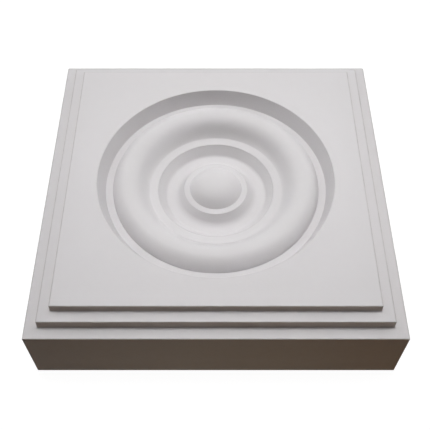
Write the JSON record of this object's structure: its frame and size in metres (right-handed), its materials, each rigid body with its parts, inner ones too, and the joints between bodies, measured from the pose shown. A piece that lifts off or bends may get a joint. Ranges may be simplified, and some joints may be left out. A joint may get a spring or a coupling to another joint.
{
  "type": "rosette block",
  "caption": "Square casing block with a stepped front and a turned rosette of ring, pocket and domed button sunk into its face.",
  "frame": {"origin": "middle of the flat back, which the block lies on", "axes": "+Z out of the carved face, along the rosette's axis; X and Y along the square's sides"},
  "size_m": [0.0888, 0.0888, 0.0224],
  "materials": {
    "primed_board": "matt off-white priming paint on fine fibreboard"
  },
  "bodies": {
    "root": {"rosette_block": "primed_board"}
  },
  "joints": []
}
